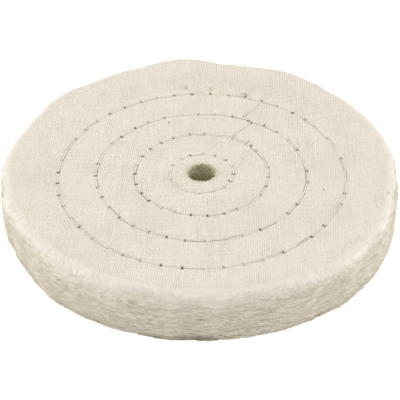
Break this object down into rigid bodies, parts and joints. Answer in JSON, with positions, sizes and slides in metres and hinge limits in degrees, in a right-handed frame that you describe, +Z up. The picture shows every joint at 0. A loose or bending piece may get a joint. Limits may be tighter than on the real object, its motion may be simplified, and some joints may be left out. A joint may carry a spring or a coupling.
{
  "type": "cloth buffing wheel",
  "caption": "Round sewn cotton polishing wheel: a thick stack of cloth plies with concentric rings of lock stitch, a fuzzy rim and a central arbor hole.",
  "frame": {"origin": "on the arbor's axis, at the height of the rim's lower face, which the wheel lies on", "axes": "+Z up along the arbor hole, from the bobbin-thread face to the needle-thread face; the last jump of the needle thread lies on the +X, +Y side"},
  "size_m": [0.1524, 0.1524, 0.02],
  "materials": {
    "cotton_cloth": "matte",
    "cotton_thread": "matte"
  },
  "bodies": {
    "root": {"cover_ply_bottom": "cotton_cloth", "cloth_ply_02": "cotton_cloth", "cloth_ply_03": "cotton_cloth", "cloth_ply_04": "cotton_cloth", "cloth_ply_05": "cotton_cloth", "cloth_ply_06": "cotton_cloth", "cloth_ply_07": "cotton_cloth", "cloth_ply_08": "cotton_cloth", "cloth_ply_09": "cotton_cloth", "cloth_ply_10": "cotton_cloth", "cloth_ply_11": "cotton_cloth", "cloth_ply_12": "cotton_cloth", "cloth_ply_13": "cotton_cloth", "cloth_ply_14": "cotton_cloth", "cloth_ply_15": "cotton_cloth", "cloth_ply_16": "cotton_cloth", "cloth_ply_17": "cotton_cloth", "cloth_ply_18": "cotton_cloth", "cloth_ply_19": "cotton_cloth", "cloth_ply_20": "cotton_cloth", "cloth_ply_21": "cotton_cloth", "cloth_ply_22": "cotton_cloth", "cloth_ply_23": "cotton_cloth", "cloth_ply_24": "cotton_cloth", "cloth_ply_25": "cotton_cloth", "cloth_ply_26": "cotton_cloth", "cloth_ply_27": "cotton_cloth", "cloth_ply_28": "cotton_cloth", "cloth_ply_29": "cotton_cloth", "cloth_ply_30": "cotton_cloth", "cloth_ply_31": "cotton_cloth", "cloth_ply_32": "cotton_cloth", "cloth_ply_33": "cotton_cloth", "cloth_ply_34": "cotton_cloth", "cloth_ply_35": "cotton_cloth", "cloth_ply_36": "cotton_cloth", "cloth_ply_37": "cotton_cloth", "cloth_ply_38": "cotton_cloth", "cloth_ply_39": "cotton_cloth", "cloth_ply_40": "cotton_cloth", "cloth_ply_41": "cotton_cloth", "cloth_ply_42": "cotton_cloth", "cloth_ply_43": "cotton_cloth", "cloth_ply_44": "cotton_cloth", "cloth_ply_45": "cotton_cloth", "cloth_ply_46": "cotton_cloth", "cloth_ply_47": "cotton_cloth", "cloth_ply_48": "cotton_cloth", "cloth_ply_49": "cotton_cloth", "cover_ply_top": "cotton_cloth", "needle_thread_ring_one": "cotton_thread", "needle_thread_ring_two": "cotton_thread", "needle_thread_ring_three": "cotton_thread", "needle_thread_ring_four": "cotton_thread", "bobbin_thread_ring_one": "cotton_thread", "bobbin_thread_ring_two": "cotton_thread", "bobbin_thread_ring_three": "cotton_thread", "bobbin_thread_ring_four": "cotton_thread"}
  },
  "joints": []
}
